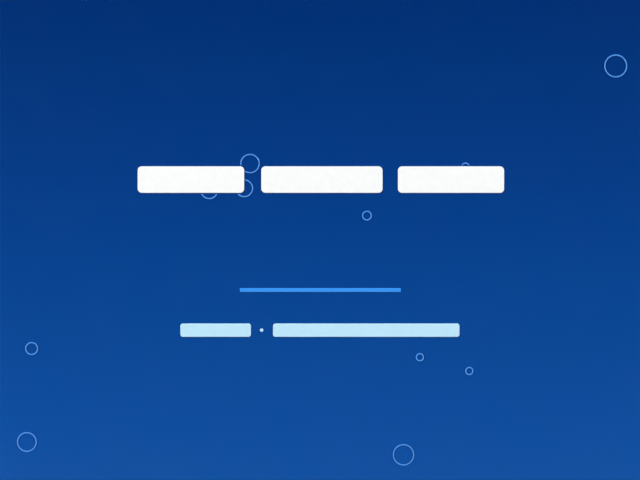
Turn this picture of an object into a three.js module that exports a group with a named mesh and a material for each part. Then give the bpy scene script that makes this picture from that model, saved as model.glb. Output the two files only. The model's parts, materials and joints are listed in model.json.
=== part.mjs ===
// A landscape display card, such as a shop stands on its counter. A printed sheet is mounted on grey board
// and backed with a liner, and a strut of folded board on the back props it up, leaning a little back. Its
// print is a plain ground with bubble rings, a title line of three bars, a short accent line, and a caption
// line of two bars with a dot between them.
//
// Units are millimetres. The card is first drawn upright: X to the right, Z up the card, and the front facing
// -Y, with the bottom edge of the board's back face on the X axis. Then it leans back on its strut, and moves
// along Y until the middle of its footprint is at the origin.

import * as THREE from "three";

// The card: the common 4:3 print size of 20 x 15 cm
const CARD_WIDTH = 200;
const CARD_HEIGHT = 150;
const LEAN_DEG = 12;

// Its sheets, from the back of the card to its front
const LINER_THICK = 0.5;
const LINER_MARGIN = 1.5;
const BOARD_THICK = 2;
const PRINT_THICK = 0.5;
const GLUE_LINE = 0.1;

// The raised print. Places are middles, right of the card's centre line and up from its bottom edge.
const INK_LINE = 0.05;
const BAR_RISE = 0.3;
const ACCENT_RISE = 0.25;
const RING_RISE = 0.2;
const RING_STROKE = 0.38;
const BAR_CLEARANCE = 0.1;
const TITLE = { z: 93.8, height: 8.3, radius: 1.3 };
const TITLE_BARS = [
  { x: -40.2, width: 33.2 },
  { x: 0.6, width: 37.8 },
  { x: 40.8, width: 33.1 },
];
const ACCENT = { x: 0.1, z: 59.4, width: 50.2, height: 1.25, radius: 0 };
const CAPTION = { z: 46.9, height: 4.2, radius: 0.8 };
const CAPTION_BARS = [
  { x: -32.5, width: 22 },
  { x: 14.4, width: 58.1 },
];
const CAPTION_DOT = { x: -18.2, diameter: 1.1 };
const RINGS = [
  { name: "ring_top_right", x: 92.1, z: 129.2, diameter: 6.8 },
  { name: "ring_title_above", x: -21.8, z: 98.8, diameter: 5.7 },
  { name: "ring_title_left", x: -34.5, z: 90.5, diameter: 5.2 },
  { name: "ring_title_below", x: -23.6, z: 91.1, diameter: 5.2 },
  { name: "ring_title_right", x: 45.3, z: 97.8, diameter: 2.3 },
  { name: "ring_middle", x: 14.6, z: 82.6, diameter: 2.7 },
  { name: "ring_left_small", x: -89.8, z: 41.2, diameter: 3.7 },
  { name: "ring_left_low", x: -91.3, z: 12.1, diameter: 5.8 },
  { name: "ring_bottom", x: 26, z: 8.1, diameter: 6.3 },
  { name: "ring_caption_near", x: 31.1, z: 38.5, diameter: 2.2 },
  { name: "ring_caption_far", x: 46.5, z: 34.2, diameter: 2.2 },
];

// The strut, cut from one board: a flap glued to the card, a wing on an upright crease, and a lock tab
const STRUT_THICK = 1.2;
const TAPE_THICK = 0.3;
const CUT_GAP = 0.15;
const STRUT_FOOT = 20;
const STRUT_TOP = 122;
const FLAP_WIDTH = 30;
const FLAP_CORNER = 6;
const WING_TOP_WIDTH = 16;
const WING_TOP_CORNER = 8;
const FOOT_NEAR = 44;
const FOOT_FAR = 66;
const FOOT_CORNER = 2;
const WINDOW_FOOT = 44;
const WINDOW_WIDTH = 18;
const WINDOW_HEIGHT = 18.7;
const TAB_SIDE_GAP = 0.3;
const TAB_CORNER = 3;
const OPEN_DEG = 90;

// Straight steps along a rounded corner, and half of those round the dot and along a ring
const CORNER_STEPS = 8;
const DOT_HALF_STEPS = 12;
const RING_HALF_STEPS = 32;

// Worked out: the angles, and depths from the board's back face, forward to the front of the print, and back
// to the liner's back and to the strut's outer face
const LEAN = THREE.MathUtils.degToRad(LEAN_DEG);
const OPEN = THREE.MathUtils.degToRad(OPEN_DEG);
const PRINT_FRONT = BOARD_THICK + GLUE_LINE + PRINT_THICK;
const LINER_BACK = GLUE_LINE + LINER_THICK;
const CREASE_DEPTH = LINER_BACK + TAPE_THICK + STRUT_THICK;

const printBlue = new THREE.MeshStandardMaterial({ color: "#0b4390", roughness: 0.45, metalness: 0 });
const greyBoard = new THREE.MeshStandardMaterial({ color: "#8d877d", roughness: 0.95, metalness: 0 });
const linerPaper = new THREE.MeshStandardMaterial({ color: "#e6e1d6", roughness: 0.9, metalness: 0 });
const strutBoard = new THREE.MeshStandardMaterial({ color: "#a98c68", roughness: 0.95, metalness: 0 });
const whiteInk = new THREE.MeshStandardMaterial({ color: "#fcfeff", roughness: 0.35, metalness: 0 });
const paleInk = new THREE.MeshStandardMaterial({ color: "#bee6ff", roughness: 0.35, metalness: 0 });
const brightInk = new THREE.MeshStandardMaterial({ color: "#3c94f6", roughness: 0.35, metalness: 0 });
const ringInk = new THREE.MeshStandardMaterial({ color: "#5698ea", roughness: 0.35, metalness: 0 });

// A plate parallel to the card. Its outline is drawn as seen from the front, x to the right and y up, and its
// back face lies `front` millimetres in front of the board's back face.
function plate(name, outline, thick, front, material, halfSteps = 1) {
  const settings = { depth: thick, bevelEnabled: false, curveSegments: halfSteps };
  const geometry = new THREE.ExtrudeGeometry(outline, settings);
  geometry.rotateX(Math.PI / 2);
  geometry.translate(0, -front, 0);
  const mesh = new THREE.Mesh(geometry, material);
  mesh.name = name;
  return mesh;
}

// A closed outline through corners given anticlockwise as [x, y, radius]. A radius rounds an outward corner.
function outlineThrough(corners) {
  const points = corners.flatMap(([x, y, radius], i) => {
    const corner = new THREE.Vector2(x, y);
    if (radius === 0) return [corner];
    const back = new THREE.Vector2(...corners.at(i - 1)).sub(corner).normalize();
    const onward = new THREE.Vector2(...corners[(i + 1) % corners.length]).sub(corner).normalize();
    const inward = back.clone().add(onward).normalize();
    const middle = corner.addScaledVector(inward, radius / Math.abs(inward.cross(back)));
    const start = back.angle() + Math.PI / 2;
    const turn = Math.PI - back.angleTo(onward);
    return Array.from({ length: CORNER_STEPS + 1 }, (_, step) => {
      const angle = start + (turn * step) / CORNER_STEPS;
      return new THREE.Vector2(Math.cos(angle), Math.sin(angle)).multiplyScalar(radius).add(middle);
    });
  });
  return new THREE.Shape(points);
}

function rectangle(left, bottom, width, height, radius = 0) {
  return outlineThrough([
    [left, bottom, radius],
    [left + width, bottom, radius],
    [left + width, bottom + height, radius],
    [left, bottom + height, radius],
  ]);
}

// The card's three sheets. The liner is cut a little smaller than the board, which shows all round it.
function cardSheets() {
  const whole = rectangle(-CARD_WIDTH / 2, 0, CARD_WIDTH, CARD_HEIGHT);
  const inset = rectangle(
    LINER_MARGIN - CARD_WIDTH / 2,
    LINER_MARGIN,
    CARD_WIDTH - 2 * LINER_MARGIN,
    CARD_HEIGHT - 2 * LINER_MARGIN,
  );
  return [
    plate("card_print", whole, PRINT_THICK, BOARD_THICK + GLUE_LINE, printBlue),
    plate("card_board", whole, BOARD_THICK, 0, greyBoard),
    plate("card_liner", inset, LINER_THICK, -LINER_BACK, linerPaper),
  ];
}

// A bar of raised ink with its middle at x and z.
function bar(name, { x, z, width, height, radius }, rise, material) {
  const outline = rectangle(x - width / 2, z - height / 2, width, height, radius);
  return plate(name, outline, rise, PRINT_FRONT + INK_LINE, material);
}

function titleLine() {
  return TITLE_BARS.map((place, i) => {
    return bar(`title_bar_${i + 1}`, { ...TITLE, ...place }, BAR_RISE, whiteInk);
  });
}

function captionLine() {
  const bars = CAPTION_BARS.map((place, i) => {
    return bar(`caption_bar_${i + 1}`, { ...CAPTION, ...place }, BAR_RISE, paleInk);
  });
  const disc = new THREE.Shape();
  disc.absarc(CAPTION_DOT.x, CAPTION.z, CAPTION_DOT.diameter / 2, 0, 2 * Math.PI, false);
  return [...bars, plate("caption_dot", disc, BAR_RISE, PRINT_FRONT + INK_LINE, paleInk, DOT_HALF_STEPS)];
}

// Whether a title bar, grown by half the ring's stroke and a little clearance, lies over the point.
function underTitle(x, z) {
  const grow = RING_STROKE / 2 + BAR_CLEARANCE;
  const level = Math.abs(z - TITLE.z) < TITLE.height / 2 + grow;
  return level && TITLE_BARS.some((place) => Math.abs(x - place.x) < place.width / 2 + grow);
}

// The angles, in radians, between which a ring shows: a full turn, or from the end of the stretch that a
// title bar hides round to its start.
function shownArc({ x, z, diameter }) {
  const degrees = [...Array(360).keys()];
  const hidden = degrees.map((degree) => {
    const angle = THREE.MathUtils.degToRad(degree);
    return underTitle(x + (diameter / 2) * Math.cos(angle), z + (diameter / 2) * Math.sin(angle));
  });
  if (!hidden.includes(true)) return [0, 2 * Math.PI];
  const start = degrees.find((degree) => !hidden[degree] && hidden.at(degree - 1));
  const length = degrees.find((step) => hidden[(start + step) % 360]) - 1;
  return [start, start + length].map(THREE.MathUtils.degToRad);
}

// A bubble ring, by the middle and the diameter of its stroke's centre line. One that a title bar lies over
// is an open arc.
function ring(place) {
  const { name, x, z, diameter } = place;
  const outer = (diameter + RING_STROKE) / 2;
  const inner = (diameter - RING_STROKE) / 2;
  const [start, end] = shownArc(place);
  const shape = new THREE.Shape();
  shape.absarc(x, z, outer, start, end, false);
  if (end - start < 2 * Math.PI) {
    shape.absarc(x, z, inner, end, start, true);
    shape.closePath();
  } else {
    shape.holes.push(new THREE.Path().absarc(x, z, inner, start, end, false));
  }
  return plate(name, shape, RING_RISE, PRINT_FRONT + INK_LINE, ringInk, RING_HALF_STEPS);
}

// How high up the card the counter is met, at a depth behind the board's back face.
function counterAt(depth) {
  return depth * Math.tan(LEAN);
}

// The strut's flap, glued to the card to the right of the crease. The lock tab is cut out of its crease side.
function strutFlap() {
  const windowTop = WINDOW_FOOT + WINDOW_HEIGHT;
  const outline = outlineThrough([
    [CUT_GAP, STRUT_FOOT, 0],
    [FLAP_WIDTH, STRUT_FOOT, FLAP_CORNER],
    [FLAP_WIDTH, STRUT_TOP, FLAP_CORNER],
    [CUT_GAP, STRUT_TOP, 0],
    [CUT_GAP, windowTop, 0],
    [WINDOW_WIDTH, windowTop, 0],
    [WINDOW_WIDTH, WINDOW_FOOT, 0],
    [CUT_GAP, WINDOW_FOOT, 0],
  ]);
  return plate("stand_flap", outline, STRUT_THICK, -CREASE_DEPTH, strutBoard);
}

// The wing, drawn closed, to the left of the crease, and then opened square to the card. The crease line
// lies in the board's outer face. The flat of the wing's foot lies on the counter.
function strutWing() {
  const outline = outlineThrough([
    [-CUT_GAP, STRUT_FOOT, 0],
    [-CUT_GAP, STRUT_TOP, 0],
    [-WING_TOP_WIDTH, STRUT_TOP, WING_TOP_CORNER],
    [-FOOT_FAR, counterAt(CREASE_DEPTH + FOOT_FAR), FOOT_CORNER],
    [-FOOT_NEAR, counterAt(CREASE_DEPTH + FOOT_NEAR), 0],
  ]);
  const crease = new THREE.Group();
  crease.position.y = CREASE_DEPTH;
  crease.rotation.z = -OPEN;
  crease.add(plate("stand_wing", outline, STRUT_THICK, 0, strutBoard));
  return crease;
}

// The lock tab, drawn closed in the flap's window, then folded down square to the card, beside the wing.
function lockTab() {
  const width = WINDOW_WIDTH - CUT_GAP - 2 * TAB_SIDE_GAP;
  const height = WINDOW_HEIGHT - 2 * CUT_GAP;
  const left = CUT_GAP + TAB_SIDE_GAP;
  const outline = outlineThrough([
    [left, CUT_GAP, 0],
    [left + width, CUT_GAP, 0],
    [left + width, CUT_GAP + height, TAB_CORNER],
    [left, CUT_GAP + height, 0],
  ]);
  const crease = new THREE.Group();
  crease.position.set(0, CREASE_DEPTH, WINDOW_FOOT);
  crease.rotation.x = -OPEN;
  crease.add(plate("stand_lock_tab", outline, STRUT_THICK, 0, strutBoard));
  return crease;
}

const card = new THREE.Group();
card.add(...cardSheets());
card.add(...titleLine());
card.add(bar("accent_line", ACCENT, ACCENT_RISE, brightInk));
card.add(...captionLine());
card.add(...RINGS.map(ring));
card.add(strutFlap(), strutWing(), lockTab());
card.rotation.x = -LEAN;

const displayCard = new THREE.Group();
displayCard.add(card);
const footprint = new THREE.Box3().setFromObject(displayCard, true);
card.position.y = -(footprint.min.y + footprint.max.y) / 2;

export default displayCard;
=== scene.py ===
# A display card on a folding strut. The sections follow the card as it is made up: the printed sheet is
# pasted to grey board, the raised ink is laid on it, and the liner and the strut go on the back. Each piece
# is shaped with the card stood upright, and then leaned back with it.

import json
import math

import bmesh
import bpy
from mathutils import Matrix, Vector


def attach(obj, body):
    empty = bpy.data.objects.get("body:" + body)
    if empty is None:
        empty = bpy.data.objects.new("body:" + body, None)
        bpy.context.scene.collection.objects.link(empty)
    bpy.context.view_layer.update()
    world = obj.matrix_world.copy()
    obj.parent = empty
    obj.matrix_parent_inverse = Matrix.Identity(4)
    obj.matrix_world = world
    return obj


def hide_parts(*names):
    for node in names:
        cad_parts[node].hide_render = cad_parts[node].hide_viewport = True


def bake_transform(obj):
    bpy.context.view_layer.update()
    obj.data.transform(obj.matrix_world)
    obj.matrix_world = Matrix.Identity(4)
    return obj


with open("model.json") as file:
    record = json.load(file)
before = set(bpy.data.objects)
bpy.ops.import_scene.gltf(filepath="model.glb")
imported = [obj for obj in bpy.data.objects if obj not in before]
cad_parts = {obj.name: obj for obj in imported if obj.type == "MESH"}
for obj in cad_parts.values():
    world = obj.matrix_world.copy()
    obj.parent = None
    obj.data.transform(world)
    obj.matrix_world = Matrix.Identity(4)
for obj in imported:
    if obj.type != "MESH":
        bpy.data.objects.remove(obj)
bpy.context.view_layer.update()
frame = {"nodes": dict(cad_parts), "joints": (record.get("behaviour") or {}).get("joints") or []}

# The camera looks square at the leaning print, from as far back as lets the print fill the picture but for a
# hair's breadth of its edges. It has the long lens of a copy stand.
LENS = 85  # in millimetres, as the sensor's width is
SENSOR = 36
SHOWN_SHARE = 0.997

wing_fold = next(joint for joint in frame["joints"] if joint["name"] == "wing_fold")
LEAN = math.atan2(wing_fold["axis"][1], wing_fold["axis"][2])
LEANING = Matrix.Rotation(-LEAN, 4, "X")
STANDING = LEANING.inverted()


def upright_corners(node):
    """The corners of a node's solid, with the card stood upright."""
    return [STANDING @ vertex.co for vertex in frame["nodes"][node].data.vertices]


def upright_box(node):
    """The lowest and the highest corner of the box round a node's solid, with the card stood upright."""
    corners = upright_corners(node)
    return Vector(map(min, zip(*corners))), Vector(map(max, zip(*corners)))


print_low, print_high = upright_box("card_print")
print_middle = (print_low + print_high) / 2
stand_off = (print_high.x - print_low.x) * SHOWN_SHARE * LENS / SENSOR
lens_point = Vector((print_middle.x, print_low.y - stand_off, print_middle.z))
look_ahead = Matrix.Rotation(math.radians(90), 4, "X")
camera = bpy.data.objects.new("camera", bpy.data.cameras.new("camera"))
camera.data.lens = LENS
camera.data.sensor_width = SENSOR
camera.matrix_world = LEANING @ Matrix.Translation(lens_point) @ look_ahead
bpy.context.scene.collection.objects.link(camera)
bpy.context.scene.camera = camera
bpy.context.scene.view_settings.view_transform = "Standard"

# The printed sheet is heavy white paper, printed in a blue that deepens towards the top, covered with a
# satin film and pasted to the board. Both are trimmed in one cut, which shows the paper's white core and
# leaves the print rubbed off a hair's breadth in places along the edge.
MM = 0.001
PRINT_FOOT = "#0d53a7"
PRINT_TOP = "#002f74"
PRINT_STOPS = 9  # enough for the blue to deepen evenly to the eye
PRINT_GRAIN = 0.4 * MM  # drawn ten times as coarse as the printed dots, so that it shows
PRINT_GRAIN_SHADE = 0.975
RUB_REACH = 0.06 * MM
RUB_LENGTH = 2.5 * MM
RUB_PATCHES = {"From Min": 0.45, "From Max": 0.75}
FILM_ROUGHNESS = {"To Min": 0.17, "To Max": 0.22}
FILM_PEEL = 0.9 * MM
FILM_PEEL_DEPTH = 0.006 * MM
HANDLING = 16 * MM  # the size of the patches that handling has dulled or polished
NOISE_SPREAD = {"From Min": 0.3, "From Max": 0.7}  # where nearly all values of a noise texture lie
PAPER_CORE = "#e8e5dc"
PAPER_CORE_SHADE = "#d5d1c7"
CORE_FIBRE_LENGTH = 3 * MM
CORE_FIBRE_WIDTH = 0.15 * MM
CORE_DEPTH = 0.03 * MM
TRIM_CORNER = 0.2 * MM
TRIM_RIM = 0.08 * MM
CORNER_STEPS = 4
RIM_STEPS = 3
PASTE_FILL = 0.09 * MM
LEVEL_WITHIN = 0.001 * MM  # points this near to a level lie on it
RIM_ANGLE = math.radians(45)
PRINTED_TILT = 0.1  # a face that turns to the front by more than this is printed
X, Y, Z = 0, 1, 2  # across the card, through it, and up it


def linear(hex_colour):
    """An sRGB hex colour as linear RGBA."""
    channels = [int(hex_colour[i : i + 2], 16) / 255 for i in (1, 3, 5)]
    return [c / 12.92 if c <= 0.04045 else ((c + 0.055) / 1.055) ** 2.4 for c in channels] + [1.0]


def between(first, last, share):
    """The hex colour that lies a share of the way from the first to the last."""
    pairs = [(int(first[i : i + 2], 16), int(last[i : i + 2], 16)) for i in (1, 3, 5)]
    return "#" + "".join(f"{round(a + (b - a) * share):02x}" for a, b in pairs)


def add(tree, kind, inputs=None, **settings):
    """Adds a node. Each input is given a value, or the node or output that feeds it."""
    node = tree.nodes.new("ShaderNode" + kind)
    for name, value in settings.items():
        setattr(node, name, value)
    for name, source in (inputs or {}).items():
        if isinstance(name, int):
            socket = node.inputs[name]
        else:
            socket = next(s for s in node.inputs if s.name == name and s.enabled)
        if isinstance(source, bpy.types.Node):
            source = next(s for s in source.outputs if s.enabled)
        if isinstance(source, bpy.types.NodeSocket):
            tree.links.new(source, socket)
        else:
            socket.default_value = source
    return node


def new_surface(name):
    """A material with an empty tree, the tree, and its node of places on the card stood upright."""
    material = bpy.data.materials.new(name)
    material.use_nodes = True
    tree = material.node_tree
    tree.nodes.clear()
    place = add(tree, "TexCoord").outputs["Object"]
    upright = add(tree, "Mapping", {"Vector": place, "Rotation": (LEAN, 0, 0)})
    return material, tree, upright


def pattern_scale(size, axis, size_there):
    """The scale of a pattern along each axis, from its real size and its other size along one of them."""
    return [1 / (size_there if place == axis else size) for place in (X, Y, Z)]


def printed_blue(tree, upright):
    """The colour of the print: it deepens evenly from foot to top, with a faint grain."""
    height = add(tree, "SeparateXYZ", {"Vector": upright}).outputs["Z"]
    rise = add(tree, "MapRange", {"Value": height, "From Min": print_low.z, "From Max": print_high.z})
    blue = add(tree, "ValToRGB", {"Fac": rise})
    stops = blue.color_ramp.elements
    while len(stops) < PRINT_STOPS:
        stops.new(0.5)
    for step, stop in enumerate(stops):
        stop.position = step / (PRINT_STOPS - 1)
        stop.color = linear(between(PRINT_FOOT, PRINT_TOP, stop.position))
    dots = add(tree, "TexNoise", {"Vector": upright, "Scale": 1 / PRINT_GRAIN, "Detail": 1})
    grain = add(tree, "MapRange", {"Value": dots, **NOISE_SPREAD, "To Min": PRINT_GRAIN_SHADE})
    return add(tree, "Mix", {"Factor": 1, "A": blue, "B": grain}, data_type="RGBA", blend_type="MULTIPLY")


def rubbed_edge(tree, upright):
    """Where the print is rubbed off: 1 within a reach of the edge that varies along it, and elsewhere 0."""
    apart = add(tree, "VectorMath", {0: upright, 1: print_middle}, operation="SUBTRACT")
    apart = add(tree, "VectorMath", {0: apart}, operation="ABSOLUTE")
    inward = add(tree, "VectorMath", {0: (print_high - print_low) / 2, 1: apart}, operation="SUBTRACT")
    inward = add(tree, "SeparateXYZ", {"Vector": inward})
    from_edge = add(tree, "Math", {0: inward.outputs["X"], 1: inward.outputs["Z"]}, operation="MINIMUM")
    patches = add(tree, "TexNoise", {"Vector": upright, "Scale": 1 / RUB_LENGTH, "Detail": 4})
    reach = add(tree, "MapRange", {"Value": patches, **RUB_PATCHES, "To Max": RUB_REACH})
    return add(tree, "Math", {0: from_edge, 1: reach}, operation="LESS_THAN")


def satin_laminated_print():
    """Toner under satin polypropylene: a clean, even colour with a soft, slightly pebbled sheen."""
    material, tree, upright = new_surface("satin_laminated_print")
    printed = printed_blue(tree, upright)
    rubbed = rubbed_edge(tree, upright)
    worn = add(tree, "Mix", {"Factor": rubbed, "A": printed, "B": linear(PAPER_CORE)}, data_type="RGBA")
    handled = add(tree, "TexNoise", {"Vector": upright, "Scale": 1 / HANDLING, "Detail": 5})
    sheen = add(tree, "MapRange", {"Value": handled, **NOISE_SPREAD, **FILM_ROUGHNESS})
    peel = add(tree, "TexNoise", {"Vector": upright, "Scale": 1 / FILM_PEEL, "Detail": 2})
    relief = add(tree, "Bump", {"Height": peel, "Distance": FILM_PEEL_DEPTH})
    satin = add(
        tree, "BsdfPrincipled", {"Base Color": worn, "Roughness": sheen, "IOR": 1.45, "Normal": relief}
    )
    add(tree, "OutputMaterial", {"Surface": satin})
    return material


def paper_core():
    """The cut through the sheet: soft white fibres, pressed flat and running along the sheet."""
    material, tree, upright = new_surface("paper_core")
    fibre_scale = pattern_scale(CORE_FIBRE_LENGTH, Y, CORE_FIBRE_WIDTH)
    along = add(tree, "Mapping", {"Vector": upright, "Scale": fibre_scale})
    fibres = add(tree, "TexNoise", {"Vector": along, "Scale": 1, "Detail": 3})
    shades = {"A": linear(PAPER_CORE_SHADE), "B": linear(PAPER_CORE)}
    white = add(tree, "Mix", {"Factor": fibres, **shades}, data_type="RGBA")
    relief = add(tree, "Bump", {"Height": fibres, "Distance": CORE_DEPTH})
    core = add(tree, "BsdfPrincipled", {"Base Color": white, "Roughness": 0.9, "Normal": relief})
    add(tree, "OutputMaterial", {"Surface": core})
    return material


def soften(solid, edges, radius, steps):
    """Rounds edges of a solid."""
    bmesh.ops.bevel(
        solid,
        geom=edges,
        offset=radius,
        segments=steps,
        profile=0.5,
        affect="EDGES",
        material=-1,
        clamp_overlap=True,
    )


def rim_at(solid, axis, level):
    """The edges where the solid's sides meet its flat face at a level of an axis."""
    return [
        edge
        for edge in solid.edges
        if all(abs(corner.co[axis] - level) < LEVEL_WITHIN for corner in edge.verts)
        and edge.calc_face_angle() > RIM_ANGLE
    ]


def slab(low, high, corner, rim):
    """A flat box between two corners. Its four corners are rounded, and then the rims of both its faces."""
    box = bmesh.new()
    place = Matrix.Translation((low + high) / 2) @ Matrix.Diagonal((*(high - low), 1))
    bmesh.ops.create_cube(box, size=1, matrix=place)
    through = [edge for edge in box.edges if abs(edge.verts[0].co.y - edge.verts[1].co.y) > LEVEL_WITHIN]
    soften(box, through, corner, CORNER_STEPS)
    for level in (low.y, high.y):
        soften(box, rim_at(box, Y, level), rim, RIM_STEPS)
    return box


def put_up(name, mesh, materials, body, nodes=()):
    """Leans a finished mesh back with the card and makes it the piece that stands for the nodes."""
    bmesh.ops.transform(mesh, matrix=LEANING, verts=mesh.verts)
    for face in mesh.faces:
        face.smooth = True
    data = bpy.data.meshes.new(name)
    mesh.to_mesh(data)
    mesh.free()
    for material in materials:
        data.materials.append(material)
    piece = bpy.data.objects.new(name, data)
    bpy.context.scene.collection.objects.link(piece)
    piece.modifiers.new("even_shading", "WEIGHTED_NORMAL")
    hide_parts(*nodes)
    if body:
        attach(piece, body)
    return piece


sheet = slab(print_low, print_high + Vector((0, PASTE_FILL, 0)), TRIM_CORNER, TRIM_RIM)
for face in sheet.faces:
    face.material_index = 0 if face.normal.y < -PRINTED_TILT else 1
sheet_surfaces = [satin_laminated_print(), paper_core()]
put_up("printed_sheet", sheet, sheet_surfaces, "card", ["card_print"])

# The grey board under the print is pressed from waste paper in many plies. Print and liner cover its faces,
# but for a narrow margin round the liner, and its plies show as fine streaks where the guillotine has cut.
PLY = 0.3 * MM
PLY_LENGTH = 12 * MM
FIBRE_WIDTH = 0.5 * MM  # drawn ten times as coarse as single fibres, so that it shows
FIBRE_LENGTH = 4 * MM
STREAK_SHARE = 0.3
CLOUD = 3 * MM
FLECK = 0.8 * MM
FLECK_PEAKS = {"From Min": 0.7, "From Max": 0.74, "To Max": 0.6}
NAP_DEPTH = 0.04 * MM
TORN_SHADE = 0.85
CUT_DEPTH = 0.07 * MM
BOARD_CORNER = 0.25 * MM
BOARD_RIM = 0.12 * MM
FACE_TILT = 0.9  # what turns to the thin axis by more than this is the board's face


def board_face(name, dark, light, fleck, grain_axis):
    """The rolled face of unbleached board: dull, flecked, cloudy, and finely streaked along its grain."""
    material, tree, upright = new_surface(name)
    fibre_scale = pattern_scale(FIBRE_WIDTH, grain_axis, FIBRE_LENGTH)
    along = add(tree, "Mapping", {"Vector": upright, "Scale": fibre_scale})
    fibres = add(tree, "TexNoise", {"Vector": along, "Scale": 1, "Detail": 4})
    clouds = add(tree, "TexNoise", {"Vector": upright, "Scale": 1 / CLOUD, "Detail": 5, "Roughness": 0.7})
    pulp = add(tree, "Mix", {"Factor": STREAK_SHARE, "A": clouds, "B": fibres}, data_type="FLOAT")
    shade = add(tree, "MapRange", {"Value": pulp, **NOISE_SPREAD})
    body = add(tree, "Mix", {"Factor": shade, "A": linear(dark), "B": linear(light)}, data_type="RGBA")
    specks = add(tree, "TexNoise", {"Vector": upright, "Scale": 1 / FLECK, "Detail": 1})
    speck = add(tree, "MapRange", {"Value": specks, **FLECK_PEAKS})
    body = add(tree, "Mix", {"Factor": speck, "A": body, "B": linear(fleck)}, data_type="RGBA")
    relief = add(tree, "Bump", {"Height": fibres, "Distance": NAP_DEPTH})
    board = add(tree, "BsdfPrincipled", {"Base Color": body, "Roughness": 0.85, "Normal": relief})
    add(tree, "OutputMaterial", {"Surface": board})
    return material


def board_cut(name, dark, light, thin_axis):
    """The cut edge of the same board: rough and slightly torn, with its plies as light and dark streaks."""
    material, tree, upright = new_surface(name)
    ply_scale = pattern_scale(PLY_LENGTH, thin_axis, PLY)
    across = add(tree, "Mapping", {"Vector": upright, "Scale": ply_scale})
    plies = add(tree, "TexNoise", {"Vector": across, "Scale": 1, "Detail": 2})
    shade = add(tree, "MapRange", {"Value": plies, **NOISE_SPREAD})
    body = add(tree, "Mix", {"Factor": shade, "A": linear(dark), "B": linear(light)}, data_type="RGBA")
    torn = add(tree, "TexNoise", {"Vector": upright, "Scale": 1 / FIBRE_WIDTH, "Detail": 5})
    hairs = add(tree, "MapRange", {"Value": torn, **NOISE_SPREAD, "To Min": TORN_SHADE})
    body = add(tree, "Mix", {"Factor": 1, "A": body, "B": hairs}, data_type="RGBA", blend_type="MULTIPLY")
    rough = add(tree, "Math", {0: torn, 1: plies}, operation="ADD")
    relief = add(tree, "Bump", {"Height": rough, "Distance": CUT_DEPTH})
    cut = add(tree, "BsdfPrincipled", {"Base Color": body, "Roughness": 0.95, "Normal": relief})
    add(tree, "OutputMaterial", {"Surface": cut})
    return material


def mark_cut(solid, thin_axis):
    """Gives a board's faces its first material, and all that lies round them its second."""
    for face in solid.faces:
        face.material_index = 0 if abs(face.normal[thin_axis]) > FACE_TILT else 1


board = slab(*upright_box("card_board"), BOARD_CORNER, BOARD_RIM)
mark_cut(board, Y)
grey_face = board_face("grey_board_face", dark="#857f75", light="#969085", fleck="#5d564c", grain_axis=X)
grey_cut = board_cut("grey_board_cut", dark="#7a746a", light="#a39c90", thin_axis=Y)
put_up("grey_board", board, [grey_face, grey_cut], "card", ["card_board"])

# The raised ink is a resin that a print head lays down in many coats and sets with ultraviolet light. It
# stands a quarter to a third of a millimetre proud, with rounded shoulders and a finely ribbed gloss.
INK_BED = 0.07 * MM
HEAD_PASS = 0.5 * MM
HEAD_RIB_DEPTH = 0.004 * MM
WAVE_RATE = 20  # the radians of a wave texture in each unit
INK_WAVE = 1.6 * MM
INK_WAVE_DEPTH = 0.012 * MM
INK_WAVE_SHADE = 0.975
SHOULDER_STEPS = 5
FLAT_ANGLE = math.radians(1)


def solid_of(node):
    """A copy of a node's solid, stood upright, with its triangles joined and its flat faces made whole."""
    solid = bmesh.new()
    solid.from_mesh(frame["nodes"][node].data)
    bmesh.ops.transform(solid, matrix=STANDING, verts=solid.verts)
    bmesh.ops.remove_doubles(solid, verts=solid.verts, dist=LEVEL_WITHIN)
    bmesh.ops.dissolve_limit(solid, angle_limit=FLAT_ANGLE, verts=solid.verts, edges=solid.edges)
    return solid


def raised_ink(name, colour):
    """Cured acrylic resin with pigment: a clear, wet-looking gloss over a solid colour."""
    material, tree, upright = new_surface(name)
    rib_scale = math.tau / HEAD_PASS / WAVE_RATE
    rib_inputs = {"Vector": upright, "Scale": rib_scale, "Distortion": 0.4}
    ribs = add(tree, "TexWave", rib_inputs, bands_direction="Z")
    waves = add(tree, "TexNoise", {"Vector": upright, "Scale": 1 / INK_WAVE, "Detail": 1})
    ribbed = add(tree, "Bump", {"Height": ribs, "Distance": HEAD_RIB_DEPTH})
    relief = add(tree, "Bump", {"Height": waves, "Distance": INK_WAVE_DEPTH, "Normal": ribbed})
    tint = add(tree, "MapRange", {"Value": waves, **NOISE_SPREAD, "To Min": INK_WAVE_SHADE})
    layers = {"Factor": 1, "A": linear(colour), "B": tint}
    body = add(tree, "Mix", layers, data_type="RGBA", blend_type="MULTIPLY")
    ink = add(tree, "BsdfPrincipled", {"Base Color": body, "Roughness": 0.25, "IOR": 1.48, "Normal": relief})
    add(tree, "OutputMaterial", {"Surface": ink})
    return material


def lay_ink(name, node, ink, shoulder):
    """Lays the ink of a node on the sheet, bedded in it, and rounds its shoulders."""
    relief = solid_of(node)
    low, high = upright_box(node)
    for corner in relief.verts:
        if abs(corner.co.y - high.y) < LEVEL_WITHIN:
            corner.co.y += INK_BED
    soften(relief, rim_at(relief, Y, low.y), shoulder, SHOULDER_STEPS)
    put_up(name, relief, [ink], "card", [node])


# The title line is three broad bars of white ink, the boldest print on the card. They are built up in more
# coats than the bubbles are, to stand out over those that end at their edges.
TITLE_SHOULDER = 0.2 * MM
white = raised_ink("white_raised_ink", "#fcfeff")
for number in (1, 2, 3):
    lay_ink(f"white_bar_{number}", f"title_bar_{number}", white, TITLE_SHOULDER)

# The accent line under them is one narrow stroke of bright blue ink with square ends. It has a coat or two
# less than the bars, so it stands a little lower, and its shoulders are tighter.
ACCENT_SHOULDER = 0.15 * MM
bright_blue = raised_ink("bright_blue_raised_ink", "#3896f9")
lay_ink("blue_line", "accent_line", bright_blue, ACCENT_SHOULDER)

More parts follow.
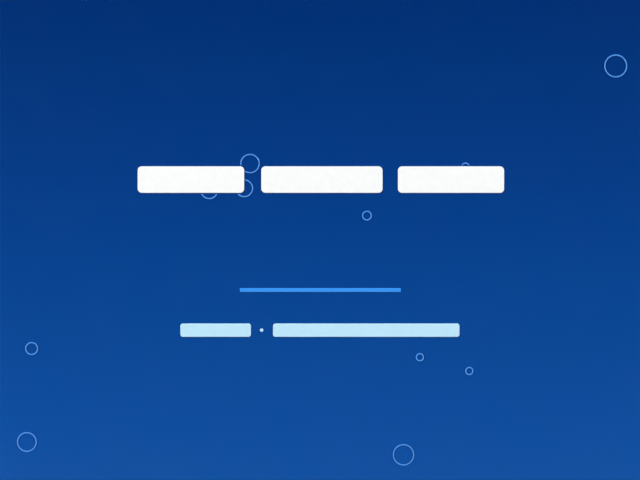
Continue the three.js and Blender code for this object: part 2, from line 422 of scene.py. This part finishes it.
# The caption line is two slim bars of pale blue ink with a dot between them, half the height of the title
# and built up just as far. The dot, a millimetre across, has drawn itself round like a drop.
CAPTION_SHOULDER = 0.2 * MM
DOT_SHOULDER = 0.25 * MM
pale_blue = raised_ink("pale_blue_raised_ink", "#bfeaff")
for number in (1, 2):
    lay_ink(f"pale_bar_{number}", f"caption_bar_{number}", pale_blue, CAPTION_SHOULDER)
lay_ink("pale_dot", "caption_dot", pale_blue, DOT_SHOULDER)

# The bubbles are thin rings of light blue ink, strewn over the sheet. Their stroke, a little over a third of
# a millimetre wide, is rounded over like a bead, and those at the title stop short of its bars.
BUBBLE_SHOULDER = 0.15 * MM
bubble_blue = raised_ink("light_blue_raised_ink", "#5298ee")
for node in frame["nodes"]:
    if node.startswith("ring_"):
        lay_ink(node.replace("ring_", "bubble_"), node, bubble_blue, BUBBLE_SHOULDER)

# The liner is uncoated white paper that hides the board's back and keeps it from bowing. It is cut a little
# small and pasted down wet, so it has dried faintly rippled.
LINER_CORNER = 0.2 * MM
LINER_RIM = 0.1 * MM
LINER_DULL = "#e6e2d9"
LINER_BRIGHT = "#e9e5dc"
LINER_FIBRE = "#b7a88c"
PAPER_TOOTH = 0.5 * MM
PAPER_FLECK = 1.1 * MM
PAPER_FLECK_PEAKS = {"From Min": 0.72, "From Max": 0.76, "To Max": 0.5}
PASTE_RIPPLE = 24 * MM
TOOTH_DEPTH = 0.03 * MM
RIPPLE_DEPTH = 0.15 * MM


def liner_paper():
    """Uncoated recycled paper: warm white, dull and toothy, with a few pale brown fibres."""
    material, tree, upright = new_surface("uncoated_liner_paper")
    ripple = add(tree, "TexNoise", {"Vector": upright, "Scale": 1 / PASTE_RIPPLE, "Detail": 0})
    damp = add(tree, "MapRange", {"Value": ripple, **NOISE_SPREAD})
    whites = {"A": linear(LINER_DULL), "B": linear(LINER_BRIGHT)}
    body = add(tree, "Mix", {"Factor": damp, **whites}, data_type="RGBA")
    specks = add(tree, "TexNoise", {"Vector": upright, "Scale": 1 / PAPER_FLECK, "Detail": 1})
    speck = add(tree, "MapRange", {"Value": specks, **PAPER_FLECK_PEAKS})
    body = add(tree, "Mix", {"Factor": speck, "A": body, "B": linear(LINER_FIBRE)}, data_type="RGBA")
    tooth = add(tree, "TexNoise", {"Vector": upright, "Scale": 1 / PAPER_TOOTH, "Detail": 4})
    felt = add(tree, "Bump", {"Height": tooth, "Distance": TOOTH_DEPTH})
    relief = add(tree, "Bump", {"Height": ripple, "Distance": RIPPLE_DEPTH, "Normal": felt})
    paper = add(tree, "BsdfPrincipled", {"Base Color": body, "Roughness": 0.9, "Normal": relief})
    add(tree, "OutputMaterial", {"Surface": paper})
    return material


liner_low, liner_high = upright_box("card_liner")
liner = slab(liner_low - Vector((0, PASTE_FILL, 0)), liner_high, LINER_CORNER, LINER_RIM)
put_up("paper_liner", liner, [liner_paper()], "card", ["card_liner"])

# The strut is die-cut from one piece of brown strawboard. Its flap is stuck to the liner, and its wing
# stands out square behind the card. A small tab, cut out of the flap and folded down beside the wing, keeps
# it from turning back over the flap.
BLADE_RIM = 0.1 * MM
BLADE_RIM_STEPS = 2
STRAW_FACE = {"dark": "#a3885f", "light": "#b39770", "fleck": "#7a6244"}
STRAW_CUT = {"dark": "#967d58", "light": "#bda47f"}


def strut_part(name, node, body, thin_axis, grain_axis):
    """One part of the strut, the rims of its faces pressed a little round. Returns the face's material."""
    low, high = upright_box(node)
    part = solid_of(node)
    for level in (low[thin_axis], high[thin_axis]):
        soften(part, rim_at(part, thin_axis, level), BLADE_RIM, BLADE_RIM_STEPS)
    mark_cut(part, thin_axis)
    face = board_face(f"{name}_face", **STRAW_FACE, grain_axis=grain_axis)
    cut = board_cut(f"{name}_cut", **STRAW_CUT, thin_axis=thin_axis)
    put_up(name, part, [face, cut], body, [node])
    return face


flap_face = strut_part("strut_flap", "stand_flap", "card", thin_axis=Y, grain_axis=Z)
strut_part("strut_wing", "stand_wing", "wing", thin_axis=X, grain_axis=Z)
strut_part("lock_tab", "stand_lock_tab", "lock_tab", thin_axis=Z, grain_axis=Y)

# Three lengths of double-sided tissue tape stick the flap to the liner, two of them above and below the
# tab's window. Only their milky edges show.
TAPE_WIDTH = 9 * MM
TAPE_INSET = 2 * MM
TAPE_CORNER = 0.1 * MM
TAPE_RIM = 0.05 * MM
TISSUE_MILK = "#dedbd0"
TISSUE_WHITE = "#efede6"
HUNDREDTHS = 5  # the decimals of a metre that give hundredths of a millimetre


def tissue_tape():
    """Acrylic adhesive on a tissue carrier: milky and slightly tacky, so its edges catch a little light."""
    material, tree, upright = new_surface("double_sided_tissue_tape")
    tissue = add(tree, "TexNoise", {"Vector": upright, "Scale": 1 / FIBRE_WIDTH, "Detail": 4})
    whites = {"A": linear(TISSUE_MILK), "B": linear(TISSUE_WHITE)}
    milky = add(tree, "Mix", {"Factor": tissue, **whites}, data_type="RGBA")
    tape = add(tree, "BsdfPrincipled", {"Base Color": milky, "Roughness": 0.45})
    add(tree, "OutputMaterial", {"Surface": tape})
    return material


flap_low, flap_high = upright_box("stand_flap")
crease_side = [corner for corner in upright_corners("stand_flap") if corner.x < flap_low.x + LEVEL_WITHIN]
crease_levels = sorted({round(corner.z, HUNDREDTHS) for corner in crease_side})
strut_foot, window_foot, window_top, strut_top = crease_levels
tissue = tissue_tape()
beside_window = flap_high.x - TAPE_INSET - TAPE_WIDTH
for name, left, foot, top in (
    ("flap_tape_long", beside_window, strut_foot, strut_top),
    ("flap_tape_upper", flap_low.x + TAPE_INSET, window_top, strut_top),
    ("flap_tape_lower", flap_low.x + TAPE_INSET, strut_foot, window_foot),
):
    tape_low = Vector((left, liner_high.y, foot + TAPE_INSET))
    tape_high = Vector((left + TAPE_WIDTH, flap_low.y, top - TAPE_INSET))
    put_up(name, slab(tape_low, tape_high, TAPE_CORNER, TAPE_RIM), [tissue], "card")

# Along each fold the die has cut the board half through from inside. Its outer ply, pressed thin, is left as
# the hinge: it lies on the flap, turns in a small bend, and carries on over the wing or the tab.
CREASE_PLY = 0.12 * MM
CREASE_LEG = 3 * MM
CREASE_BEND = 0.35 * MM
CREASE_FEATHER = 0.02 * MM
CREASE_STEPS = 6
TAB_MARGIN = 0.2 * MM
RIGHT = Vector((1, 0, 0))
BACK = Vector((0, 1, 0))
UP = Vector((0, 0, 1))


def bent_line(ply, radius, tip):
    """A line in along one leg, round the bend and out along the other. Its ends are a tip over the legs."""
    first = ply.verts.new((CREASE_LEG, tip, 0))
    bend = ply.verts.new((CREASE_BEND, CREASE_BEND - radius, 0))
    ply.edges.new((first, bend))
    turned = bmesh.ops.spin(
        ply,
        geom=[bend],
        cent=(CREASE_BEND, CREASE_BEND, 0),
        axis=(0, 0, 1),
        angle=math.radians(-90),
        steps=CREASE_STEPS,
    )
    straight = next(item for item in turned["geom_last"] if isinstance(item, bmesh.types.BMVert))
    last = ply.verts.new((tip, CREASE_LEG, 0))
    ply.edges.new((straight, last))


def crease(name, surface, fold, length, over_flap, over_part):
    """A ply of a length over a fold, which lies over the flap one way and over the part another way."""
    ply = bmesh.new()
    bent_line(ply, CREASE_BEND, 0)
    bent_line(ply, CREASE_BEND - CREASE_PLY, CREASE_FEATHER)
    bmesh.ops.bridge_loops(ply, edges=ply.edges[:])
    drawn = bmesh.ops.extrude_face_region(ply, geom=ply.faces[:])
    moved = [item for item in drawn["geom"] if isinstance(item, bmesh.types.BMVert)]
    bmesh.ops.translate(ply, verts=moved, vec=(0, 0, length))
    place = Matrix((over_flap, over_part, over_flap.cross(over_part))).transposed().to_4x4()
    bmesh.ops.transform(ply, matrix=Matrix.Translation(fold) @ place, verts=ply.verts)
    bmesh.ops.recalc_face_normals(ply, faces=ply.faces)
    strip = put_up(name, ply, [surface], None)
    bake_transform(strip)


fold_x = (STANDING @ Vector(wing_fold["pos_m"])).x
for name, foot, top in (("lower", strut_foot, window_foot), ("upper", window_top, strut_top)):
    fold = Vector((fold_x, flap_high.y, foot))
    crease(f"wing_crease_{name}", flap_face, fold, top - foot, RIGHT, BACK)
tab_right = upright_box("stand_lock_tab")[1].x
fold = Vector((fold_x + CREASE_LEG + TAB_MARGIN, flap_high.y, window_foot))
crease("tab_crease", flap_face, fold, tab_right - TAB_MARGIN - fold.x, -UP, BACK)

# The studio: softboxes well to the left and right light the print evenly and throw no glare to the camera,
# two more stand behind, and one hangs overhead.
AIM = Vector((0, 0, 70 * MM))


def softbox(name, azimuth, elevation, away, size, power):
    """A square soft light, by its direction from the card, 0 degrees being in front, its distance and size
    in metres, and its power in watts."""
    turn, rise = math.radians(azimuth), math.radians(elevation)
    out = Vector((math.sin(turn) * math.cos(rise), -math.cos(turn) * math.cos(rise), math.sin(rise)))
    facing = out.to_track_quat("Z", "Y").to_matrix().to_4x4()
    lamp = bpy.data.lights.new(name, "AREA")
    lamp.size = size
    lamp.energy = power
    light = bpy.data.objects.new(name, lamp)
    light.matrix_world = Matrix.Translation(AIM + out * away) @ facing
    light.visible_camera = False
    bpy.context.scene.collection.objects.link(light)


softbox("key", azimuth=-57, elevation=28, away=2, size=1, power=30)
softbox("fill", azimuth=57, elevation=28, away=2, size=1, power=26)
softbox("rear_left", azimuth=-140, elevation=45, away=1.5, size=0.8, power=14)
softbox("rear_right", azimuth=140, elevation=40, away=1.5, size=0.8, power=8)
softbox("overhead", azimuth=180, elevation=85, away=1.4, size=0.9, power=5)

# The floor is plain pale vinyl with no shine to speak of. The walls round it are pale too, but dim behind
# the camera, so that the satin film mirrors nothing bright.
FLOOR_RADIUS = 30
FLOOR_SIDES = 64
FLOOR_CLOUD = 200 * MM
SWEEP_START = 0.35
SWEEP_END = 1.1
VINYL_DARK = "#a19f9b"
VINYL_LIGHT = "#a8a6a2"
BACKDROP = "#d3d2cf"
WALLS = "#f4f6fa"
WALL_BEHIND_CAMERA = {"From Min": -0.8, "To Min": 0.004}  # the Y of a direction, and the glow there
WALL_ELSEWHERE = {"From Max": -0.3, "To Max": 0.2}


def studio_vinyl():
    """Matt vinyl in a pale warm grey, faintly cloudy, that sweeps up into the backdrop further off."""
    material, tree, upright = new_surface("studio_vinyl")
    clouds = add(tree, "TexNoise", {"Vector": upright, "Scale": 1 / FLOOR_CLOUD, "Detail": 3})
    greys = {"A": linear(VINYL_DARK), "B": linear(VINYL_LIGHT)}
    pale = add(tree, "Mix", {"Factor": clouds, **greys}, data_type="RGBA")
    vinyl = add(tree, "BsdfPrincipled", {"Base Color": pale, "Roughness": 0.8})
    away = add(tree, "VectorMath", {0: upright}, operation="LENGTH").outputs["Value"]
    sweep_inputs = {"Value": away, "From Min": SWEEP_START, "From Max": SWEEP_END}
    sweep = add(tree, "MapRange", sweep_inputs, interpolation_type="SMOOTHSTEP")
    seen = add(tree, "LightPath").outputs["Is Camera Ray"]
    share = add(tree, "Math", {0: sweep, 1: seen}, operation="MULTIPLY")
    glow = add(tree, "Emission", {"Color": linear(BACKDROP)})
    swept = add(tree, "MixShader", {0: share, 1: vinyl, 2: glow})
    add(tree, "OutputMaterial", {"Surface": swept})
    return material


ground = bmesh.new()
bmesh.ops.create_circle(ground, cap_ends=True, segments=FLOOR_SIDES, radius=FLOOR_RADIUS)
data = bpy.data.meshes.new("studio_floor")
ground.to_mesh(data)
ground.free()
data.materials.append(studio_vinyl())
studio_floor = bpy.data.objects.new("studio_floor", data)
bpy.context.scene.collection.objects.link(studio_floor)

studio = bpy.data.worlds.new("studio")
studio.use_nodes = True
bpy.context.scene.world = studio
walls = studio.node_tree
walls.nodes.clear()
direction = add(walls, "SeparateXYZ", {"Vector": add(walls, "TexCoord").outputs["Generated"]})
glow = add(walls, "MapRange", {"Value": direction.outputs["Y"], **WALL_BEHIND_CAMERA, **WALL_ELSEWHERE})
room_light = add(walls, "Background", {"Color": linear(WALLS), "Strength": glow})
backdrop = add(walls, "Background", {"Color": linear(BACKDROP), "Strength": 1})
seen = add(walls, "LightPath").outputs["Is Camera Ray"]
mixed = add(walls, "MixShader", {0: seen, 1: room_light, 2: backdrop})
add(walls, "OutputWorld", {"Surface": mixed})
